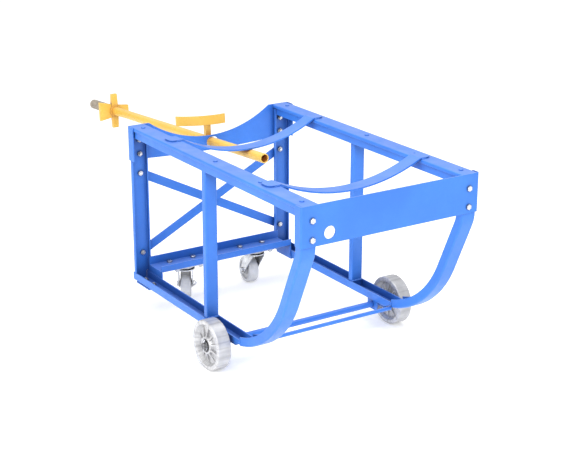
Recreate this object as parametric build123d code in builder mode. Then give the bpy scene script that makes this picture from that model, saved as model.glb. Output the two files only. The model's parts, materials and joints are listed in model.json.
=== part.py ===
"""Drum dolly: a cradle on four wheels that carries a 55 US gallon drum on its side.

Millimetres.  +X runs along the drum towards the front band, +Y is to the left of someone who
looks along +X, +Z is up.  The origin is on the floor, on the centre plane, straight below the
outer face of the rear plate.  Each finished piece is written to parts/ under its own name.
"""
from build123d import *
import math
import os

os.makedirs("parts", exist_ok=True)

# ---------------------------------------------------------------- driving dimensions
WALL = 3.0                    # sheet thickness of every folded member
BEND = 4.5                    # outside bend radius of the folded members

FRAME_LENGTH = 822.0          # outer face of the rear plate to outer face of the front band
FRAME_HALF = 246.5            # centre plane to the outer face of a side frame
FRAME_TOP = 505.0             # top of the rail caps
RAIL_WIDTH = 40.0
RAIL_DEPTH = 25.0
CAP_THICK = 3.0
CAP_LIP = 9.0
CAP_WIDTH = 47.0
LOW_RAIL_Z = 75.0             # underside of the bottom rails
LOW_RAIL_DEPTH = 22.0
POST_WIDTH = 46.0
POST_DEPTH = 13.0
MID_POST_X = (386.0, 370.0)   # right and left, as built
MID_POST_LENGTH = 17.0

RUNNER_WIDTH = 40.0
RUNNER_DEPTH = 23.0
RUNNER_LEAN = 24.0            # degrees that the straight part of a runner leans
RUNNER_BEND = 90.0            # outside radius of its upper bend
RUNNER_SWEEP = 287.0          # outside radius of its large lower bend
RUNNER_SWEEP_X = 493.0        # centre of that bend
RUNNER_TAIL_X = 555.0         # rear end of the runner, welded to the bottom rail

BAND_BOTTOM = 409.0
BAND_RETURN = 25.0
PLATE_RETURN = 30.0
END_WIDTH = 2 * (FRAME_HALF + WALL)
DIP_RADIUS = 320.0            # concave top edge of the rear plate
DIP_BOTTOM = 445.0
PLATE_BOTTOM = 404.0          # lowest point of its slightly curved bottom edge
PLATE_BOTTOM_END = 414.0
SLOT_LENGTH = 36.0            # slot in the rear plate for the lever
SLOT_HEIGHT = 28.0
SLOT_Y = 5.0
SLOT_Z = 426.0
BAND_HOLE_RADIUS = 15.0
BAND_HOLE_Y = -173.0
BAND_HOLE_Z = 435.0

STRAP_WIDTH = 40.0
STRAP_THICK = 4.0
STRAP_TAB = 33.0
STRAPS = (("rear_strap", 187.0, 452.0), ("front_strap", 645.0, 459.5))   # name, x, underside z

BRACE_WIDTH = 24.0
BRACE_Y = 220.0
BRACE_LOW_Z = 151.0
BRACE_HIGH_Z = 374.0

AXLE_X = 470.0
AXLE_Z = 63.5
AXLE_RADIUS = 7.9
WHEEL_RADIUS = 63.5
WHEEL_WIDTH = 36.0
WHEEL_OUTER_Y = 292.0         # outer face of a main wheel
HUB_BORE = 17.0
ROD_X = 554.0
ROD_Z = 81.5
ROD_RADIUS = 5.0

CARRIER_X = 52.25             # middle of the caster carrier
CARRIER_WIDTH = 71.5
CARRIER_DEPTH = 26.0          # rear flange
CARRIER_FRONT = 19.0          # front flange
CARRIER_Z = 112.0             # underside of the carrier
CARRIER_HALF = 206.5
KING_X = 50.0                 # kingpins of both casters
CASTER_TRAIL = 40.0
CASTER_WHEEL_RADIUS = 37.5
CASTER_WHEEL_WIDTH = 28.0
CASTER_PLATE = (64.0, 95.0)
CASTER_HOLES = (42.0, 73.0)
CASTERS = (("right_caster", -114.0, -30.0), ("left_caster", 110.0, -5.0))   # name, y, heading

LEVER_PITCH = 3.7             # degrees that the stowed lever rises towards the front
LEVER_Y = 5.0
LEVER_Z = 425.2               # height of its centre line at the rear plate
LEVER_RADIUS = 12.7
LEVER_BORE = 9.9
LEVER_FRONT = 270.0           # along the lever, from the rear plate
LEVER_BACK = -742.0
WRENCH_AT = -600.0
HOOK_AT = -20.0

BOLT_RADIUS = 4.0
BOLT_HOLE = 4.3
SIDES = (("right", -1.0), ("left", 1.0))


# ---------------------------------------------------------------- shared shapes
def folded_channel(width, depth):
    """A U section, web centred on the local X axis, open towards local +Y, bends rounded."""
    with BuildSketch() as hollow:
        with Locations((0, WALL)):
            Rectangle(width - 2 * WALL, depth, align=(Align.CENTER, Align.MIN))
        fillet(hollow.vertices().group_by(Axis.Y)[0], BEND - WALL)
    with BuildSketch() as section:
        Rectangle(width, depth, align=(Align.CENTER, Align.MIN))
        fillet(section.vertices().group_by(Axis.Y)[0], BEND)
        add(hollow.sketch, mode=Mode.SUBTRACT)
    return section.sketch


def finish(builder, name):
    """Name a finished piece and write it."""
    builder.part.label = name
    export_step(builder.part, f"parts/{name}.step")


def hex_bolt(grip, shank):
    """A hexagon bolt: head above the local XY plane, shank pointing down."""
    with BuildPart() as bolt:
        with BuildSketch():
            RegularPolygon(7.2, 6)
        extrude(amount=5)
        chamfer(bolt.edges().group_by(Axis.Z)[-1], 0.8)
        with BuildSketch():
            Circle(BOLT_RADIUS)
        extrude(amount=-(grip + shank))
        chamfer(bolt.edges().group_by(Axis.Z)[0], 0.7)
    return bolt.part


def hex_nut():
    """A hexagon nut standing on the local XY plane."""
    with BuildPart() as nut:
        with BuildSketch():
            RegularPolygon(7.2, 6)
            Circle(BOLT_RADIUS + 0.06, mode=Mode.SUBTRACT)
        extrude(amount=6)
        chamfer(nut.edges().filter_by(GeomType.LINE).group_by(Axis.Z)[-1], 0.6)
    return nut.part


def pan_screw(length):
    """A round-headed screw: head above the local XY plane, shank pointing down."""
    with BuildPart() as screw:
        with BuildSketch():
            Circle(5.5)
        extrude(amount=3)
        fillet(screw.edges().group_by(Axis.Z)[-1], 2.4)
        with BuildSketch():
            Circle(3)
        extrude(amount=-length)
    return screw.part


def placed(shape, places):
    """Copies of a shape at each place, as separate solids of one piece."""
    with BuildPart() as group:
        with Locations(*places):
            add(shape)
    return group


# ---------------------------------------------------------------- side frames
RAIL_MID = FRAME_HALF - WALL - RAIL_WIDTH / 2
RAIL_TOP = FRAME_TOP - CAP_THICK
RAIL_START = WALL + POST_DEPTH + 0.5
POST_MID = FRAME_HALF - POST_WIDTH / 2
RUNNER_MID = FRAME_HALF - RUNNER_WIDTH / 2
RUNNER_FACE = FRAME_LENGTH - WALL
CAP_HOLES = (40.0, 413.0, 616.0, 786.0)
PLATE_BOLTS = (427.5, 466.0)
BAND_BOLTS = (425.0, 470.0)
END_BOLT_Y = 220.0
FOOT_BOLTS = (33.0, 77.0)
FOOT_BOLT_Y = 226.0


def top_rail(side):
    """Channel along the top, open downwards, between the rear post and the runner."""
    with BuildPart() as rail:
        with BuildSketch(Plane.YZ.offset(RAIL_START)):
            with Locations(Location((side * RAIL_MID, RAIL_TOP), 180)):
                add(folded_channel(RAIL_WIDTH, RAIL_DEPTH))
        extrude(amount=RUNNER_FACE - RUNNER_DEPTH - 0.5 - RAIL_START)
        with Locations(*[(x, side * RAIL_MID, RAIL_TOP) for x in CAP_HOLES]):
            Hole(3.2, depth=WALL)
    return rail


def rail_cap(side):
    """Wider strip with two short lips that covers the whole top of a side frame."""
    with BuildPart() as cap:
        with BuildSketch(Plane.YZ.offset(WALL)):
            with Locations(Location((side * (FRAME_HALF - CAP_WIDTH / 2), FRAME_TOP), 180)):
                add(folded_channel(CAP_WIDTH, CAP_LIP))
        extrude(amount=FRAME_LENGTH - 2 * WALL)
        with Locations(*[(x, side * RAIL_MID, FRAME_TOP) for x in CAP_HOLES]):
            Hole(3.2, depth=CAP_THICK)
    return cap


def rear_post(side):
    """Channel post, open towards the front, with a tongue standing in the bottom rail."""
    with BuildPart() as post:
        with BuildSketch(Plane.XY.offset(LOW_RAIL_Z + LOW_RAIL_DEPTH)):
            with Locations(Location((WALL, side * POST_MID), -90)):
                add(folded_channel(POST_WIDTH, POST_DEPTH))
        extrude(amount=RAIL_TOP - CAP_LIP - LOW_RAIL_Z - LOW_RAIL_DEPTH)
        with BuildSketch(Plane.YZ.offset(WALL)):
            with Locations((side * RUNNER_MID, LOW_RAIL_Z + WALL)):
                Rectangle(RAIL_WIDTH - 2 * WALL - 2, LOW_RAIL_DEPTH + 4, align=(Align.CENTER, Align.MIN))
            with Locations((side * (FRAME_HALF - WALL - RAIL_WIDTH / 2), RAIL_TOP)):
                Rectangle(RAIL_WIDTH, CAP_LIP + 4, align=(Align.CENTER, Align.MAX))
        extrude(amount=WALL)
        holes = [(WALL, side * END_BOLT_Y, z) for z in (BRACE_LOW_Z, BRACE_HIGH_Z) + PLATE_BOLTS]
        with BuildSketch(Plane.YZ.offset(WALL)):
            with Locations(*[(y, z) for _, y, z in holes]):
                Circle(BOLT_HOLE)
        extrude(amount=WALL, mode=Mode.SUBTRACT)
    return post


def bottom_rail(side):
    """Channel along the bottom, open upwards, its front end mitred to meet the runner."""
    with BuildPart() as rail:
        with BuildSketch(Plane.YZ):
            with Locations((side * RUNNER_MID, LOW_RAIL_Z)):
                add(folded_channel(RAIL_WIDTH, LOW_RAIL_DEPTH))
        extrude(amount=RUNNER_TAIL_X)
        with BuildSketch(Plane.XZ.offset(FRAME_HALF + 10)):
            with BuildLine():
                Polyline((520, 60), (520, LOW_RAIL_Z), (556, 88), (575, 88), (575, 60), close=True)
            make_face()
        extrude(amount=-2 * (FRAME_HALF + 10), mode=Mode.SUBTRACT)
        with BuildSketch(Plane.XY.offset(LOW_RAIL_Z)):
            with Locations(*[(x, side * FOOT_BOLT_Y) for x in FOOT_BOLTS]):
                Circle(BOLT_HOLE)
        extrude(amount=WALL, mode=Mode.SUBTRACT)
    return rail


def mid_post(side):
    """Flat tube between the channels of a side frame, its top narrowed to enter the top rail."""
    foot_half = RAIL_WIDTH / 2 - WALL - 0.2
    length = MID_POST_LENGTH
    with BuildPart() as post:
        with BuildSketch(Plane.XY.offset(LOW_RAIL_Z + WALL)):
            with Locations((MID_POST_X[side > 0], side * RUNNER_MID)):
                RectangleRounded(length, 2 * foot_half, 3)
        extrude(amount=RAIL_TOP - RAIL_DEPTH - LOW_RAIL_Z - WALL)
        with BuildSketch(Plane.XY.offset(RAIL_TOP - RAIL_DEPTH)):
            with Locations((MID_POST_X[side > 0], side * (RUNNER_MID - 1.5))):
                RectangleRounded(length, 2 * foot_half - 3, 3)
        extrude(amount=RAIL_DEPTH - BEND)
        with BuildSketch(Plane.XY.offset(LOW_RAIL_Z + WALL)):
            with Locations((MID_POST_X[side > 0], side * (RUNNER_MID - 1.5))):
                RectangleRounded(length - 4, 2 * foot_half - 7, 1)
        extrude(amount=RAIL_TOP - LOW_RAIL_Z, mode=Mode.SUBTRACT)
    return post


def runner(side):
    """Front upright and skid in one bent channel, its web outermost, its flanges inwards."""
    lean = math.radians(RUNNER_LEAN)
    bend_x = RUNNER_FACE - RUNNER_BEND
    sweep_z = LOW_RAIL_Z + RUNNER_SWEEP
    reach = RUNNER_SWEEP_X * math.cos(lean) - sweep_z * math.sin(lean) + RUNNER_SWEEP
    bend_z = (bend_x * math.cos(lean) + RUNNER_BEND - reach) / math.sin(lean)
    tail = math.pi / 2 - math.asin((RUNNER_TAIL_X - RUNNER_SWEEP_X) / RUNNER_SWEEP)

    def on_bend(angle):
        return (bend_x + RUNNER_BEND * math.cos(angle), bend_z - RUNNER_BEND * math.sin(angle))

    def on_sweep(angle):
        along = RUNNER_SWEEP_X + RUNNER_SWEEP * math.cos(angle)
        return (along, sweep_z - RUNNER_SWEEP * math.sin(angle))

    with BuildPart() as bent:
        with BuildLine(Plane.XZ.offset(-side * RUNNER_MID)) as path:
            Line((RUNNER_FACE, RAIL_TOP), on_bend(0))
            ThreePointArc(on_bend(0), on_bend(lean / 2), on_bend(lean))
            Line(on_bend(lean), on_sweep(lean))
            ThreePointArc(on_sweep(lean), on_sweep((lean + tail) / 2), on_sweep(tail))
        start = Plane((RUNNER_FACE, side * RUNNER_MID, RAIL_TOP), x_dir=(0, -1, 0), z_dir=(0, 0, -1))
        with BuildSketch(start):
            add(folded_channel(RUNNER_WIDTH, RUNNER_DEPTH))
        sweep(path=path.wires()[0])
        with Locations((RUNNER_TAIL_X - 20, side * RUNNER_MID, LOW_RAIL_Z + 25)):
            Box(40, RUNNER_WIDTH + 10, 60, mode=Mode.SUBTRACT)
        with Locations((RUNNER_FACE, side * FRAME_HALF, RAIL_TOP)):
            Box(2 * RUNNER_DEPTH + 4, 2 * WALL, 2 * (CAP_LIP - CAP_THICK), mode=Mode.SUBTRACT)
        with BuildSketch(Plane.YZ.offset(RUNNER_FACE)):
            with Locations(*[(side * END_BOLT_Y, z) for z in BAND_BOLTS]):
                Circle(BOLT_HOLE)
        extrude(amount=-WALL, mode=Mode.SUBTRACT)
    return bent


for side_name, side_sign in SIDES:
    finish(top_rail(side_sign), f"{side_name}_top_rail")
    finish(rail_cap(side_sign), f"{side_name}_rail_cap")
    finish(rear_post(side_sign), f"{side_name}_rear_post")
    finish(bottom_rail(side_sign), f"{side_name}_bottom_rail")
    finish(mid_post(side_sign), f"{side_name}_mid_post")
    finish(runner(side_sign), f"{side_name}_runner")


# ---------------------------------------------------------------- ends and drum straps
with BuildPart() as front_band:
    with BuildSketch(Plane.XY.offset(BAND_BOTTOM)):
        with Locations(Location((FRAME_LENGTH, 0), 90)):
            add(folded_channel(END_WIDTH, BAND_RETURN))
    extrude(amount=FRAME_TOP - BAND_BOTTOM)
    with BuildSketch(Plane.YZ.offset(FRAME_LENGTH)):
        with Locations((BAND_HOLE_Y, BAND_HOLE_Z)):
            Circle(BAND_HOLE_RADIUS)
        with Locations(*[(side * END_BOLT_Y, z) for _, side in SIDES for z in BAND_BOLTS]):
            Circle(BOLT_HOLE)
    extrude(amount=-WALL, mode=Mode.SUBTRACT)
    corners = front_band.edges().filter_by(Axis.Y).group_by(Axis.X)[0]
    fillet(corners, 4)
finish(front_band, "front_band")

with BuildPart() as rear_plate:
    with BuildSketch(Plane.XY.offset(PLATE_BOTTOM)):
        with Locations(Location((0, 0), -90)):
            add(folded_channel(END_WIDTH, PLATE_RETURN))
    extrude(amount=FRAME_TOP - PLATE_BOTTOM)
    with BuildSketch(Plane.YZ.offset(-1)):
        with Locations((0, DIP_BOTTOM + DIP_RADIUS)):
            Circle(DIP_RADIUS)
        with BuildLine():
            low = ThreePointArc(
                (-END_WIDTH / 2 - 3, PLATE_BOTTOM_END),
                (0, PLATE_BOTTOM),
                (END_WIDTH / 2 + 3, PLATE_BOTTOM_END),
            )
            Polyline(low @ 1, (END_WIDTH / 2 + 3, 390), (-END_WIDTH / 2 - 3, 390), low @ 0)
        make_face()
        with Locations((SLOT_Y, SLOT_Z)):
            SlotOverall(SLOT_LENGTH, SLOT_HEIGHT)
        with Locations(*[(side * END_BOLT_Y, z) for _, side in SIDES for z in PLATE_BOLTS]):
            Circle(BOLT_HOLE)
    extrude(amount=PLATE_RETURN + 2, mode=Mode.SUBTRACT)
    corners = rear_plate.edges().filter_by(Axis.Y).group_by(Axis.X)[-1]
    fillet(corners, 4)
finish(rear_plate, "rear_plate")

STRAP_HALF = FRAME_HALF - CAP_WIDTH
for strap_name, strap_x, strap_low in STRAPS:
    sag = FRAME_TOP - strap_low
    strap_r = (STRAP_HALF ** 2 + sag ** 2) / (2 * sag)
    top_half = math.sqrt((strap_r - STRAP_THICK) ** 2 - (strap_r - sag - STRAP_THICK) ** 2)
    with BuildPart() as strap:
        with BuildSketch(Plane.YZ.offset(strap_x - STRAP_WIDTH / 2)):
            with BuildLine():
                under = ThreePointArc((-STRAP_HALF, FRAME_TOP), (0, strap_low), (STRAP_HALF, FRAME_TOP))
                over = ThreePointArc(
                    (-top_half, FRAME_TOP + STRAP_THICK),
                    (0, strap_low + STRAP_THICK),
                    (top_half, FRAME_TOP + STRAP_THICK),
                )
                for end in (0, 1):
                    tab = (2 * end - 1) * (STRAP_HALF + STRAP_TAB)
                    Polyline(under @ end, (tab, FRAME_TOP), (tab, FRAME_TOP + STRAP_THICK), over @ end)
            make_face()
        extrude(amount=STRAP_WIDTH)
        fillet(strap.edges().filter_by(Axis.Z), 14)
    finish(strap, strap_name)

brace_run = math.hypot(2 * BRACE_Y, BRACE_HIGH_Z - BRACE_LOW_Z)
brace_angle = math.degrees(math.atan2(BRACE_HIGH_Z - BRACE_LOW_Z, 2 * BRACE_Y))
braces = (("inner_brace", 0.0, brace_angle), ("outer_brace", -WALL, -brace_angle))
for brace_name, brace_x, tilt in braces:
    with BuildPart() as brace:
        with BuildSketch(Plane.YZ.offset(brace_x)):
            with Locations(Location((0, (BRACE_HIGH_Z + BRACE_LOW_Z) / 2), tilt)):
                RectangleRounded(brace_run + 22, BRACE_WIDTH, 5)
                with Locations((-brace_run / 2, 0), (brace_run / 2, 0)):
                    Circle(BOLT_HOLE, mode=Mode.SUBTRACT)
        extrude(amount=WALL)
    finish(brace, brace_name)

with BuildPart() as brace_spacers:
    with BuildSketch(Plane.YZ):
        with Locations((-BRACE_Y, BRACE_HIGH_Z), (BRACE_Y, BRACE_LOW_Z)):
            Circle(8)
            Circle(BOLT_HOLE, mode=Mode.SUBTRACT)
    extrude(amount=WALL)
finish(brace_spacers, "brace_spacers")

# ---------------------------------------------------------------- axle and main wheels
with BuildPart() as axle:
    with BuildSketch(Plane.XZ.offset(-WHEEL_OUTER_Y - 9)):
        with Locations((AXLE_X, AXLE_Z)):
            Circle(AXLE_RADIUS)
    extrude(amount=2 * (WHEEL_OUTER_Y + 9))
    chamfer(axle.edges(), 1)
    with BuildSketch(Plane.XY.offset(AXLE_Z - 12)):
        with Locations((AXLE_X, -WHEEL_OUTER_Y - 5), (AXLE_X, WHEEL_OUTER_Y + 5)):
            Circle(1.7)
    extrude(amount=24, mode=Mode.SUBTRACT)
finish(axle, "axle")

HANGER_OUT = FRAME_HALF - 2.5
for side_name, side_sign in SIDES:
    hanger_mid = side_sign * (HANGER_OUT - 17)
    with BuildPart() as hanger:
        with BuildSketch(Plane.YZ.offset(AXLE_X - 20)):
            with Locations((hanger_mid, LOW_RAIL_Z)):
                Rectangle(34, 25, align=(Align.CENTER, Align.MAX))
            with Locations((hanger_mid, LOW_RAIL_Z - 4)):
                Rectangle(26, 25, align=(Align.CENTER, Align.MAX), mode=Mode.SUBTRACT)
        extrude(amount=40)
        fillet(hanger.edges().filter_by(Axis.Y).group_by(Axis.Z)[0], 11)
        with BuildSketch(Plane.XZ.offset(-hanger_mid - 20)):
            with Locations((AXLE_X, AXLE_Z)):
                Circle(AXLE_RADIUS + 0.1)
        extrude(amount=40, mode=Mode.SUBTRACT)
    finish(hanger, f"{side_name}_axle_bracket")


def ring_pair(inner, outer, start, width):
    """The same collar at both ends of the axle, start millimetres from the centre plane."""
    with BuildPart() as pair:
        for _, side in SIDES:
            with BuildSketch(Plane.XZ.offset(-side * start)):
                with Locations((AXLE_X, AXLE_Z)):
                    Circle(outer)
                    Circle(inner, mode=Mode.SUBTRACT)
            extrude(amount=-side * width)
    return pair


SPACER_WIDTH = WHEEL_OUTER_Y - WHEEL_WIDTH - 0.5 - HANGER_OUT
finish(ring_pair(AXLE_RADIUS + 0.1, 11.5, HANGER_OUT, SPACER_WIDTH), "axle_spacers")
finish(ring_pair(AXLE_RADIUS + 0.1, 12, WHEEL_OUTER_Y + 0.5, 2), "axle_washers")

with BuildPart() as cotter_pins:
    with BuildSketch(Plane.XY.offset(AXLE_Z - 13)):
        with Locations((AXLE_X, -WHEEL_OUTER_Y - 5), (AXLE_X, WHEEL_OUTER_Y + 5)):
            Circle(1.5)
    extrude(amount=25)
    with Locations(*[(AXLE_X, side * (WHEEL_OUTER_Y + 5), AXLE_Z + 14.5) for _, side in SIDES]):
        Torus(3.2, 1.5, rotation=(90, 0, 0))
finish(cotter_pins, "cotter_pins")

WHEEL_SECTION = (                 # radius and half width, hub bore to tread
    (HUB_BORE, 18), (21, 18), (23.5, 10.5), (46, 7.5),
    (51.5, 15), (53, 18), (61.5, 18), (WHEEL_RADIUS, 16),
)
with BuildPart() as wheel_rib:
    with BuildSketch(Plane.XZ.offset(-1.8)):
        with BuildLine():
            Polyline((20, 5), (20, 16.5), (23, 16.5), (45, 9.5), (45, 5), close=True)
        make_face()
    extrude(amount=3.6)

with BuildPart() as wheel_blank:
    with BuildSketch(Plane.XZ):
        with BuildLine():
            Polyline(*WHEEL_SECTION, *[(r, -z) for r, z in reversed(WHEEL_SECTION)], close=True)
        make_face()
    revolve(axis=Axis.Z)
    with PolarLocations(0, 10):
        add(wheel_rib.part)
        add(mirror(wheel_rib.part, about=Plane.XY, mode=Mode.PRIVATE))

with BuildPart() as bearing_blank:
    for low in (-17.0, 13.0):
        with BuildSketch(Plane.XY.offset(low)):
            Circle(HUB_BORE - 0.05)
            Circle(AXLE_RADIUS + 0.05, mode=Mode.SUBTRACT)
        extrude(amount=4)
    with BuildSketch(Plane.XY.offset(-16)):
        with PolarLocations((HUB_BORE + AXLE_RADIUS) / 2, 8):
            Circle((HUB_BORE - AXLE_RADIUS) / 2 - 0.05)
    extrude(amount=33.6)

for side_name, side_sign in SIDES:
    hub = Plane((AXLE_X, side_sign * (WHEEL_OUTER_Y - WHEEL_WIDTH / 2), AXLE_Z), z_dir=(0, side_sign, 0))
    finish(placed(wheel_blank.part, [hub.location]), f"{side_name}_wheel")
    finish(placed(bearing_blank.part, [hub.location]), f"{side_name}_wheel_bearing")

with BuildPart() as tie_rod:
    with BuildSketch(Plane.XZ.offset(-(FRAME_HALF - RUNNER_WIDTH))):
        with Locations((ROD_X, ROD_Z)):
            Circle(ROD_RADIUS)
    extrude(amount=2 * (FRAME_HALF - RUNNER_WIDTH))
finish(tie_rod, "tie_rod")

# ---------------------------------------------------------------- caster carrier
with BuildPart() as carrier:
    with BuildSketch(Plane.XZ.offset(-CARRIER_HALF)):
        with Locations((CARRIER_X, CARRIER_Z)):
            add(folded_channel(CARRIER_WIDTH, CARRIER_DEPTH))
    extrude(amount=2 * CARRIER_HALF)
    with BuildSketch(Plane.XY.offset(CARRIER_Z)):
        with Locations(*[(KING_X, caster_y) for _, caster_y, _ in CASTERS]):
            with GridLocations(*CASTER_HOLES, 2, 2):
                Circle(BOLT_HOLE)
    extrude(amount=WALL, mode=Mode.SUBTRACT)
    with Locations((CARRIER_X + CARRIER_WIDTH / 2, 0, CARRIER_Z + CARRIER_FRONT)):
        Box(20, 2 * CARRIER_HALF, 40, align=(Align.CENTER, Align.CENTER, Align.MIN), mode=Mode.SUBTRACT)
finish(carrier, "caster_carrier")

for side_name, side_sign in SIDES:
    with BuildPart() as bracket:
        with BuildSketch(Plane.YZ.offset(CARRIER_X - CARRIER_WIDTH / 2)):
            with BuildLine():
                Polyline(
                    (side_sign * (CARRIER_HALF - WALL), CARRIER_Z),
                    (side_sign * (CARRIER_HALF - WALL), LOW_RAIL_Z - WALL),
                    (side_sign * FRAME_HALF, LOW_RAIL_Z - WALL),
                    (side_sign * FRAME_HALF, LOW_RAIL_Z),
                    (side_sign * CARRIER_HALF, LOW_RAIL_Z),
                    (side_sign * CARRIER_HALF, CARRIER_Z),
                    close=True,
                )
            make_face()
        extrude(amount=CARRIER_WIDTH)
        fold = bracket.edges().filter_by(Axis.X).group_by(Axis.Z)[0]
        fillet(fold.sort_by(Axis.Y)[0 if side_sign > 0 else -1], 3)
        with BuildSketch(Plane.XY.offset(LOW_RAIL_Z - WALL)):
            with Locations(*[(x, side_sign * FOOT_BOLT_Y) for x in FOOT_BOLTS]):
                Circle(BOLT_HOLE)
        extrude(amount=WALL, mode=Mode.SUBTRACT)
    finish(bracket, f"{side_name}_carrier_bracket")

# ---------------------------------------------------------------- casters
PLATE_LOW = CARRIER_Z - WALL
CROWN_TOP = PLATE_LOW - 10.0
LEG_IN = 17.5
LEG_OUT = 20.5

with BuildPart() as swivel_plate:
    with BuildSketch(Plane.XY.offset(PLATE_LOW)):
        RectangleRounded(*CASTER_PLATE, 6)
        with GridLocations(*CASTER_HOLES, 2, 2):
            Circle(BOLT_HOLE, mode=Mode.SUBTRACT)
    extrude(amount=WALL)
    with BuildSketch(Plane.XY.offset(CROWN_TOP + 0.4)):
        Circle(22)
    extrude(amount=PLATE_LOW - CROWN_TOP - 0.4)
    fillet(swivel_plate.edges().group_by(Axis.Z)[0], 2.5)
    with BuildSketch(Plane.XY.offset(CROWN_TOP - 9)):
        Circle(5)
    extrude(amount=12)
    with BuildSketch(Plane.XY.offset(CROWN_TOP - 9)):
        Circle(9)
    extrude(amount=5.5)

with BuildPart() as fork:
    with BuildSketch(Plane.XY.offset(CROWN_TOP - WALL)):
        Circle(26)
        with Locations((-2, 0)):
            Rectangle(44, 2 * LEG_OUT)
    extrude(amount=WALL)
    for leg_y in (-LEG_OUT, LEG_IN):
        with BuildSketch(Plane.XZ.offset(-leg_y)):
            with Locations((-CASTER_TRAIL, CASTER_WHEEL_RADIUS)):
                Circle(11)
            with Locations((-2, CROWN_TOP)):
                Rectangle(44, 6, align=(Align.CENTER, Align.MAX))
            make_hull()
            with Locations((-CASTER_TRAIL, CASTER_WHEEL_RADIUS)):
                Circle(BOLT_HOLE, mode=Mode.SUBTRACT)
        extrude(amount=-(LEG_OUT - LEG_IN))
    with BuildSketch(Plane.XY.offset(CROWN_TOP - WALL)):
        Circle(5.05)
    extrude(amount=WALL, mode=Mode.SUBTRACT)

AXLE_LINE = Plane((-CASTER_TRAIL, 0, CASTER_WHEEL_RADIUS), x_dir=(1, 0, 0), z_dir=(0, -1, 0))
with BuildPart() as small_wheel:
    with BuildSketch(AXLE_LINE):
        Circle(CASTER_WHEEL_RADIUS)
    extrude(amount=CASTER_WHEEL_WIDTH / 2, both=True)
    fillet(small_wheel.edges(), 4)
    for face, way in ((CASTER_WHEEL_WIDTH / 2, -1), (-CASTER_WHEEL_WIDTH / 2, 1)):
        with BuildSketch(AXLE_LINE.offset(face)):
            Circle(28)
            Circle(13, mode=Mode.SUBTRACT)
        extrude(amount=way * 6, taper=8, mode=Mode.SUBTRACT)
    with BuildSketch(AXLE_LINE):
        Circle(13)
    extrude(amount=CASTER_WHEEL_WIDTH / 2 + 2, both=True)
    with BuildSketch(AXLE_LINE):
        Circle(8)
    extrude(amount=LEG_IN, both=True, mode=Mode.SUBTRACT)

with BuildPart() as wheel_bush:
    with BuildSketch(AXLE_LINE):
        Circle(8)
        Circle(4.05, mode=Mode.SUBTRACT)
    extrude(amount=LEG_IN - 0.5, both=True)

with BuildPart() as wheel_bolt:
    with Locations(AXLE_LINE.offset(LEG_OUT).location):
        add(hex_bolt(2 * LEG_OUT, 9))
    with Locations(AXLE_LINE.offset(-LEG_OUT).location * Location((0, 0, 0), (180, 0, 0))):
        add(hex_nut())

for caster_name, caster_y, heading in CASTERS:
    king = Location((KING_X, caster_y, 0))
    turned = Location((KING_X, caster_y, 0), (0, 0, heading))
    finish(placed(swivel_plate.part, [king]), f"{caster_name}_plate")
    finish(placed(fork.part, [turned]), f"{caster_name}_fork")
    finish(placed(small_wheel.part, [turned]), f"{caster_name}_wheel")
    finish(placed(wheel_bush.part, [turned]), f"{caster_name}_bush")
    finish(placed(wheel_bolt.part, [turned]), f"{caster_name}_axle")

# ---------------------------------------------------------------- removable lever
pitch = math.radians(LEVER_PITCH)
LEVER_WAY = Vector(math.cos(pitch), 0, math.sin(pitch))
LEVER_UP = Vector(-math.sin(pitch), 0, math.cos(pitch))
LEVER_ROOT = Vector(0, LEVER_Y, LEVER_Z)


def across(along):
    """Plane square to the lever: local X is +Y, local Y is up, along is from the rear plate."""
    return Plane(LEVER_ROOT + LEVER_WAY * along, x_dir=(0, 1, 0), z_dir=LEVER_WAY)


with BuildPart() as lever_tube:
    with BuildSketch(across(LEVER_BACK)):
        Circle(LEVER_RADIUS)
        Circle(LEVER_BORE, mode=Mode.SUBTRACT)
    extrude(amount=LEVER_FRONT - LEVER_BACK)
finish(lever_tube, "lever_tube")

with BuildPart() as lever_grip:
    with BuildSketch(across(LEVER_BACK - 6)):
        Circle(14.5)
    extrude(amount=WRENCH_AT - 9 - LEVER_BACK + 6)
    fillet(lever_grip.faces().sort_by(Axis.X)[0].edges(), 4)
    for ring in range(9):
        with BuildSketch(across(LEVER_BACK + 14 + 12 * ring)):
            Circle(20)
            Circle(13.9, mode=Mode.SUBTRACT)
        extrude(amount=3, mode=Mode.SUBTRACT)
    with BuildSketch(across(LEVER_BACK)):
        Circle(LEVER_RADIUS)
    extrude(amount=WRENCH_AT - 9 - LEVER_BACK, mode=Mode.SUBTRACT)
finish(lever_grip, "lever_grip")

with BuildPart() as bung_wrench:
    with BuildSketch(across(WRENCH_AT - 8)):
        Circle(17)
    extrude(amount=16)
    with BuildSketch(across(WRENCH_AT - 5)):
        with BuildLine():
            Polyline((-12, 22), (-50, 31), (-50, -26), (-12, -20), close=True)
        make_face()
        with BuildLine():
            Polyline((12, 17), (46, 13), (46, -13), (12, -15), close=True)
        make_face()
        for up in (1, -1):
            with BuildLine():
                Polyline((-11, 10 * up), (-9, 52 * up), (9, 52 * up), (11, 10 * up), close=True)
            make_face()
    extrude(amount=10)
    with BuildSketch(across(WRENCH_AT - 8)):
        Circle(LEVER_RADIUS)
    extrude(amount=16, mode=Mode.SUBTRACT)
finish(bung_wrench, "bung_wrench")

HOOK_LOW = 44.0
HOOK_HIGH = 70.0
HOOK_RADIUS = 143.0
HOOK_SHEET = 5.0
hook_plan = Plane(LEVER_ROOT + LEVER_UP * HOOK_LOW, x_dir=(0, -1, 0), z_dir=LEVER_UP)
with BuildPart() as chime_hook:
    with BuildSketch(hook_plan):
        with Locations((-35, -10 - HOOK_RADIUS)):
            Circle(HOOK_RADIUS)
            Circle(HOOK_RADIUS - HOOK_SHEET, mode=Mode.SUBTRACT)
        with Locations((11, -40)):
            Rectangle(124, 80, mode=Mode.INTERSECT)
    extrude(amount=HOOK_HIGH - HOOK_LOW)
finish(chime_hook, "chime_hook")

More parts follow.
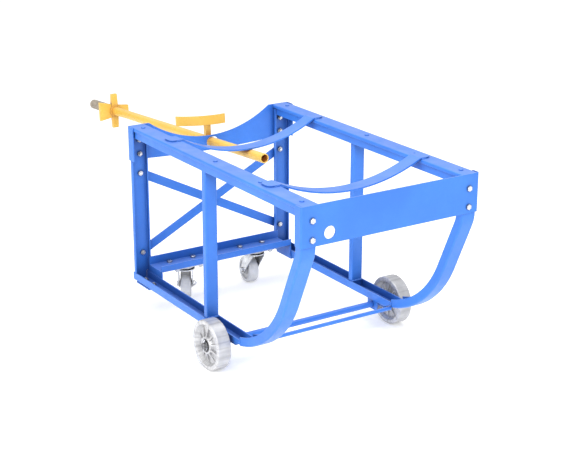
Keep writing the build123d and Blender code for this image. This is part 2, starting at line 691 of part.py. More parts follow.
with BuildPart() as hook_post:
    with BuildSketch(across(HOOK_AT - 8)):
        with Locations((0, 8)):
            Rectangle(16, 54, align=(Align.CENTER, Align.MIN))
    extrude(amount=11)
    with BuildSketch(across(HOOK_AT - 20)):
        Circle(LEVER_RADIUS)
    extrude(amount=30, mode=Mode.SUBTRACT)
    with BuildSketch(hook_plan):
        with Locations((-35, -10 - HOOK_RADIUS)):
            Circle(HOOK_RADIUS + 20)
            Circle(HOOK_RADIUS - HOOK_SHEET, mode=Mode.SUBTRACT)
    extrude(amount=HOOK_HIGH - HOOK_LOW, mode=Mode.SUBTRACT)
finish(hook_post, "hook_post")

# ---------------------------------------------------------------- fasteners
cap_places = [Location((x, side * RAIL_MID, FRAME_TOP)) for _, side in SIDES for x in CAP_HOLES]
finish(placed(pan_screw(12), cap_places), "cap_screws")

rear_heads = [Plane((0, side * END_BOLT_Y, z), z_dir=(-1, 0, 0)).location
              for _, side in SIDES for z in PLATE_BOLTS]
for brace_x, low_side in ((0.0, -1), (-WALL, 1)):
    for bolt_y, bolt_z in ((low_side * BRACE_Y, BRACE_LOW_Z), (-low_side * BRACE_Y, BRACE_HIGH_Z)):
        rear_heads.append(Plane((brace_x, bolt_y, bolt_z), z_dir=(-1, 0, 0)).location)
finish(placed(hex_bolt(6, 10), rear_heads), "rear_bolts")
rear_nut_places = [Plane((2 * WALL, side * END_BOLT_Y, z), z_dir=(1, 0, 0)).location
                   for _, side in SIDES for z in PLATE_BOLTS + (BRACE_LOW_Z, BRACE_HIGH_Z)]
finish(placed(hex_nut(), rear_nut_places), "rear_nuts")

front_heads = [Plane((FRAME_LENGTH, side * END_BOLT_Y, z), z_dir=(1, 0, 0)).location
               for _, side in SIDES for z in BAND_BOLTS]
front_ends = [Plane((FRAME_LENGTH - 2 * WALL, side * END_BOLT_Y, z), z_dir=(-1, 0, 0)).location
              for _, side in SIDES for z in BAND_BOLTS]
finish(placed(hex_bolt(6, 9), front_heads), "front_bolts")
finish(placed(hex_nut(), front_ends), "front_nuts")

caster_spots = [(KING_X + dx * CASTER_HOLES[0] / 2, cy + dy * CASTER_HOLES[1] / 2)
                for _, cy, _ in CASTERS for dx in (-1, 1) for dy in (-1, 1)]
caster_heads = [Location((x, y, CARRIER_Z + WALL)) for x, y in caster_spots]
finish(placed(hex_bolt(6, 9), caster_heads), "caster_bolts")
caster_unders = [Location((x, y, PLATE_LOW), (180, 0, 0)) for x, y in caster_spots]
finish(placed(hex_nut(), caster_unders), "caster_nuts")

foot_spots = [(x, side * FOOT_BOLT_Y) for _, side in SIDES for x in FOOT_BOLTS]
foot_unders = [Location((x, y, LOW_RAIL_Z - WALL), (180, 0, 0)) for x, y in foot_spots]
finish(placed(hex_bolt(6, 9), foot_unders), "bracket_bolts")
foot_tops = [Location((x, y, LOW_RAIL_Z + WALL)) for x, y in foot_spots]
finish(placed(hex_nut(), foot_tops), "bracket_nuts")
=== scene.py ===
"""Looks of a drum dolly: powder-coated cradle, spoked wheels, zinc casters and a yellow lever."""

import json
import logging
import math
from dataclasses import dataclass, field
from enum import Enum
from typing import Sequence

import bmesh
import bpy
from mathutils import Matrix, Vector


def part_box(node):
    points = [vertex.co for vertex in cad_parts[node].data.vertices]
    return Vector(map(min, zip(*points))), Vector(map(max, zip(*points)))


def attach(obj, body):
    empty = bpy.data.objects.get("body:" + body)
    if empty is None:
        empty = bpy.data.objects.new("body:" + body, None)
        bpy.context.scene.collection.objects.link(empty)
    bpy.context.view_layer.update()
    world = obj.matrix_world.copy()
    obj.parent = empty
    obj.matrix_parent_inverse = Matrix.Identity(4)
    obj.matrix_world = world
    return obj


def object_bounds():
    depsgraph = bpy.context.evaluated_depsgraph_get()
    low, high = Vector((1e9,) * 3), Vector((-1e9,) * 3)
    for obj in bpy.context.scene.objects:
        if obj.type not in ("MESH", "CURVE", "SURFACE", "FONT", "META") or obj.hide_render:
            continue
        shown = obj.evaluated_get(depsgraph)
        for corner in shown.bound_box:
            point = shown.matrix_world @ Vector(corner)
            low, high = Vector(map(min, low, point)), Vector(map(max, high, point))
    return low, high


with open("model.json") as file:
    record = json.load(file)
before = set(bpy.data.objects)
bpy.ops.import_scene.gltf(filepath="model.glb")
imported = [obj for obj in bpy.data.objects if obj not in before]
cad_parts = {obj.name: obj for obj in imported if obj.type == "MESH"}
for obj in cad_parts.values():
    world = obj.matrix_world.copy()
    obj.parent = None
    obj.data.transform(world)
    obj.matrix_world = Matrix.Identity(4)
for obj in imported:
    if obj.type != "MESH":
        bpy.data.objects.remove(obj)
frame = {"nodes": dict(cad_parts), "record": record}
CAD_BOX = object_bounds()
LOG = logging.getLogger("drum_dolly")

Colour = tuple[float, float, float, float]


class Side(Enum):
    """The two sides of the cradle, as its user sees them from behind the rear plate."""

    RIGHT = -1
    LEFT = 1

    @property
    def word(self) -> str:
        """Lower-case name that starts this side's node names."""
        return self.name.lower()


def node_centre(node: str) -> Vector:
    """Middle of a CAD node's box.

    Args:
        node: name of the node.

    Returns:
        The point in metres.
    """
    low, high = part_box(node)
    return (Vector(low) + Vector(high)) / 2


# ------------------------------------------------------------------ finishes
class Graph:
    """Node tree of one material, built one node at a time."""

    def __init__(self, name: str) -> None:
        """Starts a material with a Principled shader.

        Args:
            name: name of the material.
        """
        self.material = bpy.data.materials.new(name)
        self.material.use_nodes = True
        self.tree = self.material.node_tree
        self.shader = self.tree.nodes["Principled BSDF"]

    def plug(self, node: bpy.types.Node, sockets: dict) -> bpy.types.Node:
        """Sets or links a node's inputs.

        Args:
            node: the node whose inputs are filled.
            sockets: input name or index to a value or to another node's output.

        Returns:
            The same node.
        """
        for key, value in sockets.items():
            if isinstance(value, bpy.types.NodeSocket):
                self.tree.links.new(value, node.inputs[key])
            else:
                node.inputs[key].default_value = value
        return node

    def add(self, kind: str, sockets: dict | None = None, **settings: object) -> bpy.types.Node:
        """Adds a node.

        Args:
            kind: the node's type without its ShaderNode prefix.
            sockets: inputs to set or link.
            settings: attributes of the node, such as operation.

        Returns:
            The new node.
        """
        node = self.tree.nodes.new("ShaderNode" + kind)
        for key, value in settings.items():
            setattr(node, key, value)
        return self.plug(node, sockets or {})

    def noise(
        self, scale: float, detail: float = 2.0, stretch: Sequence[float] = (1, 1, 1)
    ) -> bpy.types.NodeSocket:
        """Noise over the object's own coordinates.

        Args:
            scale: cells per metre.
            detail: octaves.
            stretch: scale along each axis.

        Returns:
            The noise value, 0 to 1.
        """
        place = self.add("TexCoord").outputs["Object"]
        spread = self.add("Mapping", {"Vector": place, "Scale": tuple(stretch)})
        return self.add(
            "TexNoise", {"Vector": spread.outputs[0], "Scale": scale, "Detail": detail}
        ).outputs["Fac"]

    def span(
        self, value: bpy.types.NodeSocket, low: float, high: float, to_low: float, to_high: float
    ) -> bpy.types.NodeSocket:
        """Maps a value from one range to another, clamped.

        Args:
            value: the value to map.
            low: start of its range.
            high: end of its range.
            to_low: result at low.
            to_high: result at high.

        Returns:
            The mapped value.
        """
        return self.add("MapRange", {
            "Value": value, "From Min": low, "From Max": high, "To Min": to_low, "To Max": to_high,
        }).outputs["Result"]

    def blend(self, amount: bpy.types.NodeSocket, first: object, second: object) -> bpy.types.NodeSocket:
        """Mixes two colours.

        Args:
            amount: 0 for the first colour, 1 for the second.
            first: a colour or a colour output.
            second: a colour or a colour output.

        Returns:
            The mixed colour.
        """
        mix = self.add("Mix", data_type="RGBA")
        self.plug(mix, {0: amount, 6: first, 7: second})
        return mix.outputs[2]

    def product(self, first: bpy.types.NodeSocket, second: bpy.types.NodeSocket) -> bpy.types.NodeSocket:
        """Multiplies two values.

        Args:
            first: one value.
            second: the other value.

        Returns:
            Their product.
        """
        return self.add("Math", {0: first, 1: second}, operation="MULTIPLY").outputs[0]

    def edges(self, radius: float) -> tuple[bpy.types.NodeSocket, bpy.types.NodeSocket]:
        """Rounded normals for hard edges, and how near an edge each point is.

        Args:
            radius: radius of the softened edge in metres.

        Returns:
            The softened normal, and a value that rises from 0 to 1 at an edge.
        """
        soft = self.add("Bevel", {"Radius": radius}, samples=4).outputs["Normal"]
        true = self.add("NewGeometry").outputs["Normal"]
        near = self.add("VectorMath", {0: soft, 1: true}, operation="DOT_PRODUCT").outputs["Value"]
        return soft, self.span(near, 0.995, 0.86, 0.0, 1.0)

    def recess(self, reach: float) -> bpy.types.NodeSocket:
        """How enclosed each point is, which sets where painted shade darkens recesses and corners.

        Args:
            reach: distance in metres over which neighbours count.

        Returns:
            A value that rises from 0 in the open to 1 in a corner.
        """
        open_sky = self.add("AmbientOcclusion", {"Distance": reach}, samples=8).outputs["AO"]
        return self.span(open_sky, 0.92, 0.30, 0.0, 1.0)

    def facing_up(self) -> bpy.types.NodeSocket:
        """How far each point faces up, where dust comes to rest and a painted sheen lightens the tops.

        Returns:
            A value that rises from 0 on a slope to 1 on a level top.
        """
        normal = self.add("NewGeometry").outputs["Normal"]
        return self.span(self.add("SeparateXYZ", {0: normal}).outputs[2], 0.6, 1.0, 0.0, 1.0)

    def beyond(self, axis: int, limit: float) -> bpy.types.NodeSocket:
        """Whether a point is further than a limit from the centre plane along an axis.

        Args:
            axis: 0, 1 or 2 for X, Y or Z.
            limit: distance from zero in metres.

        Returns:
            0 inside the limit and 1 outside it.
        """
        place = self.add("SeparateXYZ", {0: self.add("TexCoord").outputs["Object"]}).outputs[axis]
        size = self.add("Math", {0: place}, operation="ABSOLUTE").outputs[0]
        return self.span(size, limit, limit + 0.0015, 0.0, 1.0)

    def relief(
        self, height: bpy.types.NodeSocket, depth: float, normal: bpy.types.NodeSocket | None = None
    ) -> bpy.types.NodeSocket:
        """Bump from a height value.

        Args:
            height: height, 0 to 1.
            depth: full depth in metres.
            normal: normal to start from.

        Returns:
            The bumped normal.
        """
        bump = self.add("Bump", {"Height": height, "Distance": depth, "Strength": 1.0})
        if normal is not None:
            self.plug(bump, {"Normal": normal})
        return bump.outputs["Normal"]


@dataclass(frozen=True)
class Finish:
    """A surface finish: subclasses fill in the node tree."""

    name: str

    def paint(self, graph: Graph) -> None:
        """Wires the shader of this finish.

        Args:
            graph: the material's graph.
        """

    def make(self) -> bpy.types.Material:
        """Builds the material once and returns it.

        Returns:
            The material.
        """
        title = f"{self.name}_finish"
        found = bpy.data.materials.get(title)
        if found:
            return found
        graph = Graph(title)
        self.paint(graph)
        return graph.material


@dataclass(frozen=True)
class Coating(Finish):
    """Paint or powder coat over steel, with fine orange peel, faint dust with a painted sheen on the tops,
    rubbed edges with a painted highlight, and painted shade in the recesses and seams.
    """

    tone: Colour = (0.046, 0.212, 0.73, 1)
    deep: Colour = (0.036, 0.172, 0.63, 1)
    # edge wear, partly a painted highlight along the edges
    rubbed: Colour = (0.26, 0.46, 0.92, 1)
    # painted shade: the colour that recesses and seams are darkened towards
    dark: Colour = (0.010, 0.050, 0.24, 1)
    # dust on the tops, partly a painted sheen of the light from above
    dusty: Colour = (0.22, 0.31, 0.70, 1)
    rough: float = 0.36
    peel: float = 0.00005
    gloss: float = 0.42

    def paint(self, graph: Graph) -> None:
        """Wires the coating.

        Args:
            graph: the material's graph.
        """
        soft, edge = graph.edges(0.0009)
        drift = graph.span(graph.noise(7, 4), 0.35, 0.65, 0, 1)
        mottle = graph.span(graph.noise(160, 3), 0.3, 0.7, 0, 0.35)
        base = graph.blend(drift, self.tone, self.deep)
        base = graph.blend(mottle, base, self.deep)
        # dust on up-facing faces, partly a painted sheen where the tops catch the light
        dust_and_sheen = graph.product(graph.facing_up(), graph.span(graph.noise(24, 4), 0.3, 0.7, 0.25, 0.5))
        base = graph.blend(dust_and_sheen, base, self.dusty)
        # lighter edges: partly wear, partly a painted highlight
        wear_and_highlight = graph.product(edge, graph.span(graph.noise(90, 5), 0.42, 0.62, 0.15, 0.7))
        base = graph.blend(wear_and_highlight, base, self.rubbed)
        # painted shade: darkened in seams and recesses, where shade falls
        seam_shade = graph.span(graph.recess(0.007), 0.15, 1.0, 0.0, 0.95)
        shade = graph.add("Math", {0: graph.recess(0.06), 1: seam_shade}, operation="MAXIMUM").outputs[0]
        base = graph.blend(graph.span(shade, 0, 1, 0, 0.92), base, self.dark)
        rough = graph.span(graph.noise(45, 5), 0.3, 0.7, self.rough - 0.07, self.rough + 0.1)
        peel = graph.relief(graph.noise(520, 1), self.peel, soft)
        graph.plug(graph.shader, {
            "Base Color": base, "Roughness": rough, "Normal": peel,
            "Specular IOR Level": self.gloss,
        })


@dataclass(frozen=True)
class CoatedBar(Coating):
    """The same coating on a bar whose ends are left bare steel inside the wheels."""

    bare: Colour = (0.11, 0.11, 0.12, 1)
    polished: Colour = (0.30, 0.30, 0.31, 1)
    limit: float = 0.252

    def paint(self, graph: Graph) -> None:
        """Wires the coating, then swaps it for steel at both ends.

        Args:
            graph: the material's graph.
        """
        super().paint(graph)
        ends = graph.beyond(1, self.limit)
        coat = graph.shader.inputs["Base Color"].links[0].from_socket
        cloud = graph.span(graph.noise(150, 4), 0.35, 0.65, 0, 1)
        steel = graph.blend(cloud, self.bare, self.polished)
        graph.plug(graph.shader, {"Base Color": graph.blend(ends, coat, steel), "Metallic": ends})


@dataclass(frozen=True)
class Plating(Finish):
    """Bright zinc or bare steel with brushed grain, cloudy patches, painted highlights on the edges and
    painted shade in the recesses.
    """

    tone: Colour = (0.76, 0.77, 0.79, 1)
    dull: Colour = (0.48, 0.49, 0.51, 1)
    # painted highlight on the edges
    bright: Colour = (0.85, 0.86, 0.88, 1)
    # painted shade in the recesses
    grimy: Colour = (0.05, 0.05, 0.055, 1)
    rough: float = 0.24
    grain: Sequence[float] = (1, 1, 14)

    def paint(self, graph: Graph) -> None:
        """Wires the plating.

        Args:
            graph: the material's graph.
        """
        soft, edge = graph.edges(0.0005)
        cloud = graph.span(graph.noise(70, 5), 0.35, 0.7, 0, 1)
        base = graph.blend(cloud, self.tone, self.dull)
        # painted highlight: edges lightened towards near white
        base = graph.blend(graph.span(edge, 0, 1, 0, 0.5), base, self.bright)
        # painted shade: recesses darkened where shade falls
        base = graph.blend(graph.span(graph.recess(0.03), 0, 1, 0, 0.8), base, self.grimy)
        lines = graph.noise(340, 3, self.grain)
        rough = graph.span(lines, 0.3, 0.7, self.rough - 0.08, self.rough + 0.14)
        graph.plug(graph.shader, {
            "Base Color": base, "Roughness": rough, "Metallic": 0.85,
            "Normal": graph.relief(lines, 0.00003, soft),
        })


@dataclass(frozen=True)
class Casting(Finish):
    """Wheel metal: light, finely turned round its axle, with cloudy cast patches, painted highlights on the
    edges and painted shade in the recesses.
    """

    tone: Colour = (0.66, 0.66, 0.67, 1)
    shade: Colour = (0.46, 0.46, 0.48, 1)
    # painted highlight on the edges
    bright: Colour = (0.97, 0.97, 0.98, 1)
    # painted shade in the recesses
    grimy: Colour = (0.30, 0.30, 0.31, 1)
    metal: float = 0.5

    def paint(self, graph: Graph) -> None:
        """Wires the casting.

        Args:
            graph: the material's graph.
        """
        soft, edge = graph.edges(0.0014)
        patch = graph.span(graph.noise(38, 5), 0.35, 0.68, 0, 0.75)
        base = graph.blend(patch, self.tone, self.shade)
        # painted highlight: edges lightened towards near white
        base = graph.blend(graph.span(edge, 0, 1, 0, 0.6), base, self.bright)
        # painted shade: recesses darkened where shade falls
        base = graph.blend(graph.span(graph.recess(0.020), 0, 1, 0, 0.5), base, self.grimy)
        sand = graph.noise(760, 3)
        rough = graph.span(graph.noise(120, 3), 0.3, 0.7, 0.38, 0.58)
        graph.plug(graph.shader, {
            "Base Color": base, "Roughness": rough, "Metallic": self.metal,
            "Normal": graph.relief(sand, 0.00012, soft),
        })


@dataclass(frozen=True)
class TurnedCasting(Casting):
    """The cast metal of the main wheels, turned on a lathe: fine rings, and spoke-wise streaks that are a
    painted reflection.
    """

    node: str = "right_wheel"
    rings: float = 1100.0
    # painted reflection: darker streaks that fan out from the hub
    streak_tone: Colour = (0.34, 0.34, 0.355, 1)
    ring_tone: Colour = (0.30, 0.30, 0.31, 1)

    def paint(self, graph: Graph) -> None:
        """Wires the casting, then adds the lathe marks round the axle and the painted reflection streaks.

        Args:
            graph: the material's graph.
        """
        super().paint(graph)
        centre = node_centre(self.node)
        place = graph.add("TexCoord").outputs["Object"]
        hub = (centre.x, 0.0, centre.z)
        arm = graph.add("VectorMath", {0: place, 1: hub}, operation="SUBTRACT").outputs[0]
        arm = graph.add("VectorMath", {0: arm, 1: (1.0, 0.0, 1.0)}, operation="MULTIPLY").outputs[0]
        radius = graph.add("VectorMath", {0: arm}, operation="LENGTH").outputs["Value"]
        way = graph.add("VectorMath", {0: arm}, operation="NORMALIZE").outputs[0]
        # painted reflection: spoke-wise streaks standing in for the sheen of the turned metal
        reflection_streak = graph.add("TexNoise", {"Vector": way, "Scale": 9.0, "Detail": 3.0}).outputs["Fac"]
        ring = graph.add(
            "TexNoise", {"W": radius, "Scale": self.rings, "Detail": 2.0}, noise_dimensions="1D"
        ).outputs["Fac"]
        cast = graph.shader.inputs["Base Color"].links[0].from_socket
        turned = graph.blend(graph.span(reflection_streak, 0.50, 0.66, 0, 0.6), cast, self.streak_tone)
        turned = graph.blend(graph.span(ring, 0.50, 0.62, 0, 0.22), turned, self.ring_tone)
        sand = graph.shader.inputs["Normal"].links[0].from_socket
        graph.plug(graph.shader, {
            "Base Color": turned,
            "Roughness": graph.span(ring, 0.3, 0.7, 0.26, 0.46),
            "Normal": graph.relief(ring, 0.00004, sand),
        })


@dataclass(frozen=True)
class Moulding(Finish):
    """Moulded rubber or plastic with a fine stipple and rubbed high spots."""

    tone: Colour = (0.27, 0.225, 0.175, 1)
    worn: Colour = (0.42, 0.37, 0.30, 1)
    rough: float = 0.62
    stipple: float = 0.00012

    def paint(self, graph: Graph) -> None:
        """Wires the moulding.

        Args:
            graph: the material's graph.
        """
        soft, edge = graph.edges(0.0010)
        smear = graph.span(graph.noise(55, 5), 0.38, 0.66, 0, 0.7)
        base = graph.blend(smear, self.tone, self.worn)
        base = graph.blend(graph.span(edge, 0, 1, 0, 0.5), base, self.worn)
        rough = graph.span(graph.noise(90, 3), 0.3, 0.7, self.rough - 0.08, self.rough + 0.12)
        graph.plug(graph.shader, {
            "Base Color": base, "Roughness": rough,
            "Normal": graph.relief(graph.noise(900, 2), self.stipple, soft),
        })


BLUE_COAT = Coating("blue_powder_coat")
AXLE_COAT = CoatedBar("axle_coat")
YELLOW_PAINT = Coating(
    "yellow_paint",
    tone=(0.82, 0.54, 0.095, 1),
    deep=(0.74, 0.43, 0.065, 1),
    # edge wear of the yellow paint, partly a painted highlight
    rubbed=(0.98, 0.76, 0.38, 1),
    # painted shade of the yellow paint in recesses and seams
    dark=(0.42, 0.12, 0.02, 1),
    # dust on the yellow tops, partly a painted sheen
    dusty=(0.84, 0.62, 0.28, 1),
    rough=0.30,
    gloss=0.5,
)
ZINC = Plating("zinc_plate")
BEARING = Plating("bearing_steel", tone=(0.16, 0.16, 0.17, 1), dull=(0.07, 0.07, 0.075, 1), rough=0.34)
WHEEL_METAL = TurnedCasting("wheel_iron")
CASTER_TREAD = Casting(
    "caster_tread", tone=(0.66, 0.66, 0.66, 1), shade=(0.46, 0.47, 0.48, 1), metal=0.05
)
GRIP = Moulding("grip_rubber")
SLOT_FINISHES = {
    finish.name: finish
    for finish in (BLUE_COAT, YELLOW_PAINT, ZINC, BEARING, WHEEL_METAL, CASTER_TREAD, GRIP)
}


# ------------------------------------------------------------------ shared mesh code
def corners(node: str) -> tuple[Vector, Vector]:
    """Lowest and highest corners of a CAD node's box.

    Args:
        node: name of the node.

    Returns:
        Both corners in metres.
    """
    low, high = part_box(node)
    return Vector(low), Vector(high)


def new_piece(name: str, mesh: bmesh.types.BMesh, finish: Finish, body: str) -> bpy.types.Object:
    """Turns a bmesh into a named piece that rides on a body.

    Args:
        name: name of the piece.
        mesh: the bmesh, freed here.
        finish: its finish.
        body: the CAD body it moves with.

    Returns:
        The new object.
    """
    bmesh.ops.recalc_face_normals(mesh, faces=mesh.faces)
    data = bpy.data.meshes.new(name)
    mesh.to_mesh(data)
    mesh.free()
    data.shade_smooth()
    piece = bpy.data.objects.new(name, data)
    bpy.context.scene.collection.objects.link(piece)
    data.materials.append(finish.make())
    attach(piece, body)
    LOG.info("piece %s on %s", name, body)
    return piece


BEAD_PITCH = 0.0016       # length of one step along a bead
BEAD_CORNERS = 8
BEAD_TIP = 0.35           # size of a bead's ends against its middle


def weld_bead(mesh: bmesh.types.BMesh, start: Vector, end: Vector, size: float = 0.0032) -> None:
    """Adds one rippled weld bead between two points.

    Args:
        mesh: the bmesh to add to.
        start: first point in metres.
        end: last point in metres.
        size: radius of the bead in metres.
    """
    run = end - start
    way = run.normalized()
    side = way.orthogonal().normalized()
    other = way.cross(side)
    steps = max(6, int(run.length / BEAD_PITCH))
    rings = []
    for step in range(steps + 1):
        along = step / steps
        swell = size * (1 + 0.16 * math.sin(step * 2.1) + 0.05 * math.sin(step * 0.73))
        taper = min(1.0, BEAD_TIP + 6 * min(along, 1 - along))
        centre = start + run * along + side * 0.12 * size * math.sin(step * 0.9)
        turns = (2 * math.pi * k / BEAD_CORNERS for k in range(BEAD_CORNERS))
        rings.append([
            mesh.verts.new(centre + swell * taper * (side * math.cos(turn) + other * math.sin(turn)))
            for turn in turns
        ])
    for low, high in zip(rings, rings[1:]):
        for k in range(BEAD_CORNERS):
            n = (k + 1) % BEAD_CORNERS
            mesh.faces.new((low[k], low[n], high[n], high[k]))
    mesh.faces.new(rings[0])
    mesh.faces.new(list(reversed(rings[-1])))


# ------------------------------------------------------------------ sub-assemblies
@dataclass
class Assembly:
    """Part of the dolly: a body name, the CAD nodes it shows and the pieces it adds."""

    body: str = "frame"
    nodes: Sequence[str] = ()
    pieces: list[bpy.types.Object] = field(default_factory=list)

    def build(self) -> None:
        """Builds the meshes that the CAD nodes don't carry."""

    def dress(self) -> None:
        """Gives every CAD node of this assembly the finish that its record slot names."""
        slots = {row["node"]: row["material_slot"] for row in frame["record"]["subparts"]}
        for node in self.nodes:
            shape = frame["nodes"][node]
            shape.data.materials.clear()
            finish = AXLE_COAT if node == "axle" else SLOT_FINISHES[slots[node]]
            shape.data.materials.append(finish.make())
            LOG.info("node %s in %s", node, slots[node])


@dataclass
class SideFrame(Assembly):
    """Rails, posts and runner of one side, with the weld beads that join them."""

    side: Side = Side.RIGHT
    bead: float = 0.0030
    tail_bead: float = 0.0024
    tail_start: float = 0.087          # height where the tail's upright beads begin
    tail_width: float = 0.040
    edge_gap: float = 0.004            # how far a post's beads stop short of the rail's edge
    foot_start: float = 0.001          # how far the foot's beads start in from its end
    foot_inset: tuple[float, float] = (0.007, 0.002)

    def __post_init__(self) -> None:
        """Names this side's nodes."""
        kinds = ("top_rail", "rail_cap", "rear_post", "bottom_rail", "mid_post", "runner")
        self.nodes = [f"{self.side.word}_{kind}" for kind in kinds]

    def build(self) -> None:
        """Runs beads round the middle post, the rear post's foot and the runner's tail."""
        word, sign = self.side.word, self.side.value
        mesh = bmesh.new()
        post_low, post_high = corners(f"{word}_mid_post")
        rail_low, rail_high = corners(f"{word}_bottom_rail")
        top_low, _ = corners(f"{word}_top_rail")
        inner = min(abs(post_low.y), abs(post_high.y)) * sign
        outer = max(abs(rail_low.y), abs(rail_high.y)) * sign
        for height in (rail_high.z, top_low.z):
            for x in (post_low.x, post_high.x):
                start = Vector((x, inner, height))
                weld_bead(mesh, start, Vector((x, outer - sign * self.edge_gap, height)), self.bead)
        foot_low, foot_high = corners(f"{word}_rear_post")
        for y in (inner - sign * self.foot_inset[0], outer - sign * self.foot_inset[1]):
            start = Vector((foot_low.x + self.foot_start, y, rail_high.z))
            weld_bead(mesh, start, Vector((foot_high.x, y, rail_high.z)), self.bead)
        tail_low, _ = corners(f"{word}_runner")
        for y in (outer, outer - sign * self.tail_width):
            start = Vector((tail_low.x, y, self.tail_start))
            weld_bead(mesh, start, Vector((tail_low.x, y, rail_high.z)), self.tail_bead)
        self.pieces.append(new_piece(f"{word}_side_welds", mesh, BLUE_COAT, self.body))


@dataclass
class Cradle(Assembly):
    """Front band, rear plate, drum straps, crossed braces and tie rod."""

    nodes: Sequence[str] = (
        "front_band", "rear_plate", "rear_strap", "front_strap", "inner_brace", "outer_brace",
        "brace_spacers", "tie_rod",
    )
    bead: float = 0.0022
    bead_span: tuple[float, float] = (0.030, 0.015)   # its ends, in from the end of the tab
    bead_drop: float = 0.0035

    def build(self) -> None:
        """Runs a bead along each side of every strap tab."""
        mesh = bmesh.new()
        for strap in ("rear_strap", "front_strap"):
            low, high = corners(strap)
            height = high.z - self.bead_drop
            for sign in (-1, 1):
                near, far = (sign * (high.y - inset) for inset in self.bead_span)
                for x in (low.x, high.x):
                    weld_bead(mesh, Vector((x, near, height)), Vector((x, far, height)), self.bead)
        self.pieces.append(new_piece("strap_welds", mesh, BLUE_COAT, self.body))


@dataclass
class RollingGear(Assembly):
    """Through axle with its hangers, collars, cotter pins and the carrier for the casters."""

    nodes: Sequence[str] = (
        "axle", "axle_spacers", "axle_washers", "cotter_pins", "left_axle_bracket", "right_axle_bracket",
        "caster_carrier", "left_carrier_bracket", "right_carrier_bracket",
    )
    bead: float = 0.0024
    end_gap: float = 0.004             # how far a bead stops short of the member's end
    bead_drop: float = 0.001

    def build(self) -> None:
        """Runs a bead where each hanger and each bracket meets its rail or channel."""
        mesh = bmesh.new()
        for side in Side:
            low, high = corners(f"{side.word}_axle_bracket")
            near, far, height = low.y + self.end_gap, high.y - self.end_gap, high.z - self.bead_drop
            for x in (low.x, high.x):
                weld_bead(mesh, Vector((x, near, height)), Vector((x, far, height)), self.bead)
            low, high = corners(f"{side.word}_carrier_bracket")
            inner = side.value * min(abs(low.y), abs(high.y))
            near, far = low.x + self.end_gap, high.x - self.end_gap
            weld_bead(mesh, Vector((near, inner, high.z)), Vector((far, inner, high.z)), self.bead)
        self.pieces.append(new_piece("running_gear_welds", mesh, BLUE_COAT, self.body))


@dataclass
class MainWheel(Assembly):
    """One spoked wheel on its roller bearing."""

    side: Side = Side.RIGHT

    def __post_init__(self) -> None:
        """Names this wheel's nodes and body."""
        self.body = f"{self.side.word}_main_wheel"
        self.nodes = [f"{self.side.word}_wheel", f"{self.side.word}_wheel_bearing"]


@dataclass
class Caster(Assembly):
    """One swivel caster: plate, fork, wheel, bush and axle bolt."""

    side: Side = Side.RIGHT

    def __post_init__(self) -> None:
        """Names this caster's nodes."""
        kinds = ("plate", "fork", "wheel", "bush", "axle")
        self.nodes = [f"{self.side.word}_caster_{kind}" for kind in kinds]


@dataclass
class Lever(Assembly):
    """Removable lever with its grip, bung wrench head and chime hook."""

    body: str = "lever"
    nodes: Sequence[str] = ("lever_tube", "lever_grip", "bung_wrench", "chime_hook", "hook_post")


@dataclass
class Fasteners(Assembly):
    """All the bolts, nuts and screws."""

    nodes: Sequence[str] = (
        "cap_screws", "rear_bolts", "rear_nuts", "front_bolts", "front_nuts", "caster_bolts", "caster_nuts",
        "bracket_bolts", "bracket_nuts",
    )


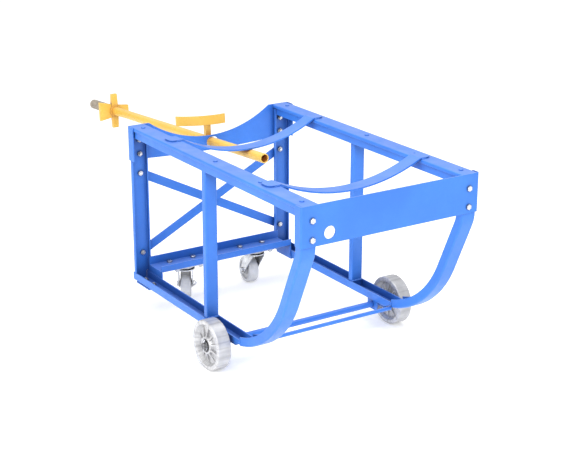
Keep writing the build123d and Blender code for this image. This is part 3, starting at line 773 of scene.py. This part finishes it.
@dataclass
class Studio:
    """Pale floor, soft lights and the camera."""

    floor_colour: Colour = (0.93, 0.93, 0.93, 1)
    floor_glow: float = 0.28
    floor_size: float = 14.0
    floor_drop: float = 0.0004         # keeps the floor just clear of the wheels
    horizon: Colour = (0.52, 0.53, 0.55, 1)
    zenith: Colour = (1, 1, 1, 1)
    zenith_from: float = 0.6           # sine of the height where the sky is fully bright
    sky_power: float = 0.8
    aim: Sequence[float] = (0.3, 0, 0.3)
    panels: Sequence[tuple[str, Sequence[float], float, float]] = (   # name, place, size, power
        ("key", (2.5, -0.9, 1.9), 1.4, 40.0),
        ("side_fill", (0.4, -3.0, 1.5), 1.4, 30.0),
        ("top_fill", (0.5, 0.1, 3.4), 2.2, 54.0),
    )
    camera_place: Sequence[float] = (3.1878, -1.8260, 1.4297)
    azimuth: float = 57.286
    elevation: float = 18.92
    lens: float = 88.72
    shift: Sequence[float] = (0.0066, -0.0023)

    def build(self) -> None:
        """Builds the floor, the lights, the sky and the camera."""
        self.build_floor()
        self.build_lights()
        self.build_sky()
        self.build_camera()

    def build_floor(self) -> None:
        """Lays a large plain floor under the wheels."""
        mesh = bmesh.new()
        bmesh.ops.create_grid(mesh, x_segments=1, y_segments=1, size=self.floor_size)
        data = bpy.data.meshes.new("floor")
        mesh.to_mesh(data)
        mesh.free()
        floor = bpy.data.objects.new("floor", data)
        floor.location.z = CAD_BOX[0].z - self.floor_drop
        bpy.context.scene.collection.objects.link(floor)
        graph = Graph("studio_floor")
        graph.plug(graph.shader, {
            "Base Color": self.floor_colour, "Roughness": 0.9,
            "Emission Color": (1, 1, 1, 1), "Emission Strength": self.floor_glow,
        })
        data.materials.append(graph.material)

    def build_lights(self) -> None:
        """Hangs one key and two fill panels around the dolly."""
        for name, place, size, power in self.panels:
            light = bpy.data.lights.new(name, "AREA")
            light.energy, light.size = power, size
            lamp = bpy.data.objects.new(name, light)
            lamp.location = place
            way = Vector(self.aim) - Vector(place)
            lamp.rotation_euler = way.to_track_quat("-Z", "Y").to_euler()
            bpy.context.scene.collection.objects.link(lamp)

    def build_sky(self) -> None:
        """Sets an even sky that is brightest overhead."""
        world = bpy.data.worlds.new("studio")
        world.use_nodes = True
        tree = world.node_tree
        place = tree.nodes.new("ShaderNodeTexCoord")
        split = tree.nodes.new("ShaderNodeSeparateXYZ")
        sky = tree.nodes.new("ShaderNodeValToRGB")
        low, high = sky.color_ramp.elements
        low.position, low.color = 0.0, self.horizon
        high.position, high.color = self.zenith_from, self.zenith
        tree.links.new(place.outputs["Generated"], split.inputs[0])
        tree.links.new(split.outputs["Z"], sky.inputs["Fac"])
        tree.links.new(sky.outputs["Color"], tree.nodes["Background"].inputs["Color"])
        tree.nodes["Background"].inputs["Strength"].default_value = self.sky_power
        bpy.context.scene.world = world
        bpy.context.scene.view_settings.view_transform = "Standard"

    def build_camera(self) -> None:
        """Sets the camera at the viewing angle."""
        camera = bpy.data.objects.new("camera", bpy.data.cameras.new("camera"))
        camera.data.lens = self.lens
        camera.data.shift_x, camera.data.shift_y = self.shift
        camera.location = self.camera_place
        camera.rotation_euler = (math.radians(90 - self.elevation), 0, math.radians(self.azimuth))
        bpy.context.scene.collection.objects.link(camera)
        bpy.context.scene.camera = camera


def main() -> None:
    """Builds and dresses every sub-assembly, then sets the studio."""
    logging.basicConfig(level=logging.INFO, format="%(name)s %(message)s")
    assemblies: list[Assembly] = [SideFrame(side=side) for side in Side]
    assemblies += [Cradle(), RollingGear()]
    assemblies += [MainWheel(side=side) for side in Side]
    assemblies += [Caster(side=side) for side in Side]
    assemblies += [Lever(), Fasteners()]
    for assembly in assemblies:
        assembly.build()
        assembly.dress()
    dressed = {node for assembly in assemblies for node in assembly.nodes}
    for node in sorted(set(frame["nodes"]) - dressed):
        LOG.warning("node %s has no finish", node)
    Studio().build()


if __name__ == "__main__":
    main()
